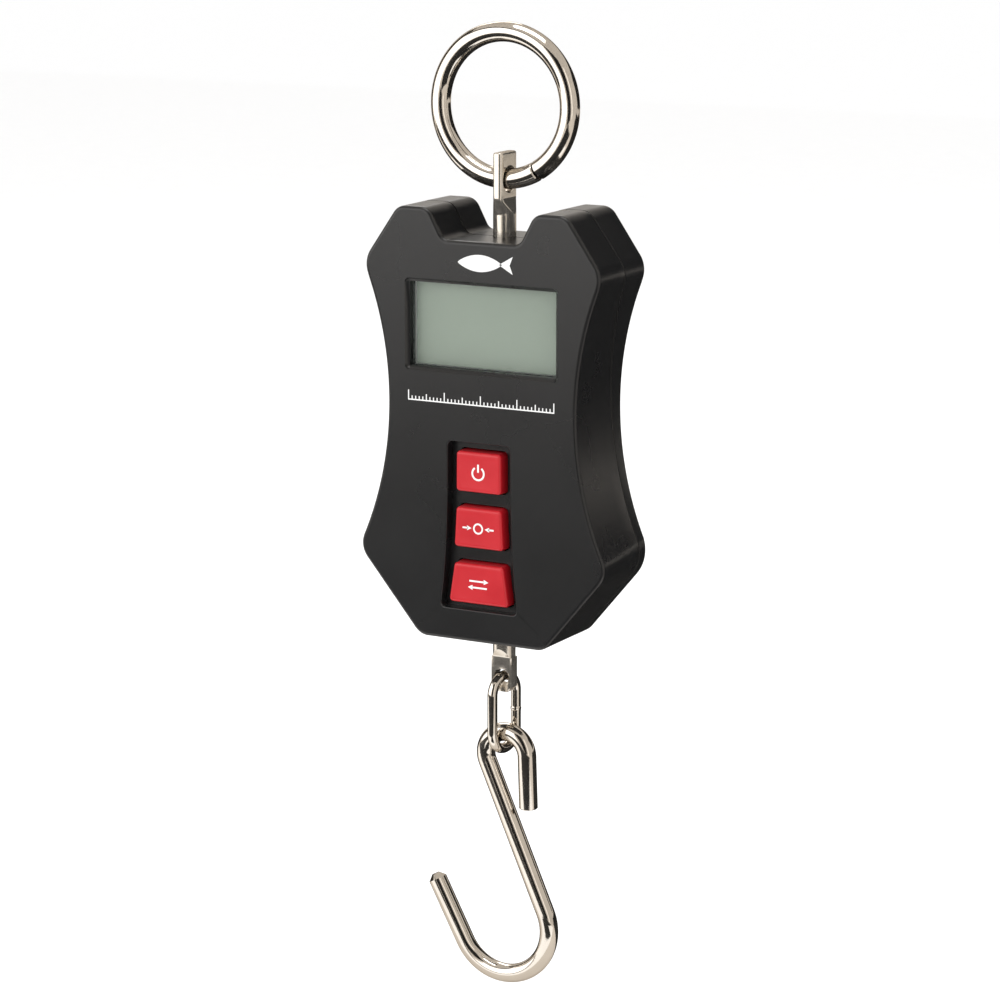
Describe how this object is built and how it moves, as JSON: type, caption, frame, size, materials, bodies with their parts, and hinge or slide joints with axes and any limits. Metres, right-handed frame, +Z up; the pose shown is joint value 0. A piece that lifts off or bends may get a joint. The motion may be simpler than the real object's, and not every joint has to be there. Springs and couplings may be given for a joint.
{
  "type": "hanging digital fish scale",
  "caption": "Hand-held hanging digital scale: waisted black case with display and red keys, carry ring on a top eye, chain link and open S-shaped hook below.",
  "frame": {"origin": "inside top of the carry ring, where the scale hangs", "axes": "+Z up along the load line, front face with display towards -Y, +X to the right seen from the front"},
  "size_m": [0.0724, 0.0262, 0.2576],
  "materials": {
    "plated_steel": "bright nickel plate",
    "zinc_steel": "zinc plate",
    "cell_alloy": "fine milled",
    "gauge_film": "thin film",
    "washer_brass": "plain",
    "black_plastic": "fine satin texture",
    "clear_window": "clear",
    "black_rubber": "foam",
    "lcd_glass": "grey-green display, blank",
    "white_plastic": "plain",
    "strip_rubber": "soft",
    "board_green": "solder mask",
    "chip_black": "plain",
    "red_plastic": "semi-gloss",
    "battery_sleeve": "printed sleeve, blank"
  },
  "bodies": {
    "carry_ring": {"carry_ring": "plated_steel"},
    "case": {"top_eye_bolt": "plated_steel", "top_lock_nut": "zinc_steel", "load_cell": "cell_alloy", "strain_gauges": "gauge_film", "load_cell_screws": "zinc_steel", "thrust_washer": "washer_brass", "front_cover": "black_plastic", "rear_cover": "black_plastic", "case_screws": "zinc_steel", "display_window": "clear_window", "window_gasket": "black_rubber", "lcd_panel": "lcd_glass", "lcd_holder": "white_plastic", "zebra_strips": "strip_rubber", "main_board": "board_green", "board_chips": "chip_black", "board_screws": "zinc_steel", "switch_bodies": "chip_black", "battery_left": "battery_sleeve", "battery_right": "battery_sleeve", "spring_contacts": "zinc_steel", "plate_contacts": "zinc_steel"},
    "power_key": {"power_button": "red_plastic", "power_switch_tip": "chip_black"},
    "tare_key": {"tare_button": "red_plastic", "tare_switch_tip": "chip_black"},
    "unit_key": {"unit_button": "red_plastic", "unit_switch_tip": "chip_black"},
    "battery_door": {"battery_door": "black_plastic"},
    "lower_eye": {"lower_eye_bolt": "plated_steel", "lower_lock_nut": "zinc_steel"},
    "chain_link": {"chain_link": "plated_steel"},
    "hook": {"hook": "plated_steel"}
  },
  "joints": [
    {"name": "case_swing", "type": "hinge", "parent": "carry_ring", "child": "case", "pos_m": [0, 0, -0.035], "axis": [1, 0, 0], "range_deg": [-100, 100]},
    {"name": "battery_door_turn", "type": "hinge", "parent": "case", "child": "battery_door", "pos_m": [0, 0.012, -0.1422], "axis": [-1, 0, 0], "range_deg": [0, 85]},
    {"name": "eye_swivel", "type": "hinge", "parent": "case", "child": "lower_eye", "pos_m": [0, 0, -0.14], "axis": [0, 0, 1], "continuous": true},
    {"name": "link_swing", "type": "hinge", "parent": "lower_eye", "child": "chain_link", "pos_m": [0, 0, -0.1669], "axis": [0, 1, 0], "range_deg": [-60, 60]},
    {"name": "hook_swing", "type": "hinge", "parent": "chain_link", "child": "hook", "pos_m": [0.0007, 0, -0.1824], "axis": [1, 0, 0], "range_deg": [-80, 80]},
    {"name": "power_press", "type": "slide", "parent": "case", "child": "power_key", "axis": [0, 1, 0], "range_m": [0, 0.0006], "stiffness_N_per_m": 900},
    {"name": "tare_press", "type": "slide", "parent": "case", "child": "tare_key", "axis": [0, 1, 0], "range_m": [0, 0.0006], "stiffness_N_per_m": 900},
    {"name": "unit_press", "type": "slide", "parent": "case", "child": "unit_key", "axis": [0, 1, 0], "range_m": [0, 0.0006], "stiffness_N_per_m": 900}
  ]
}
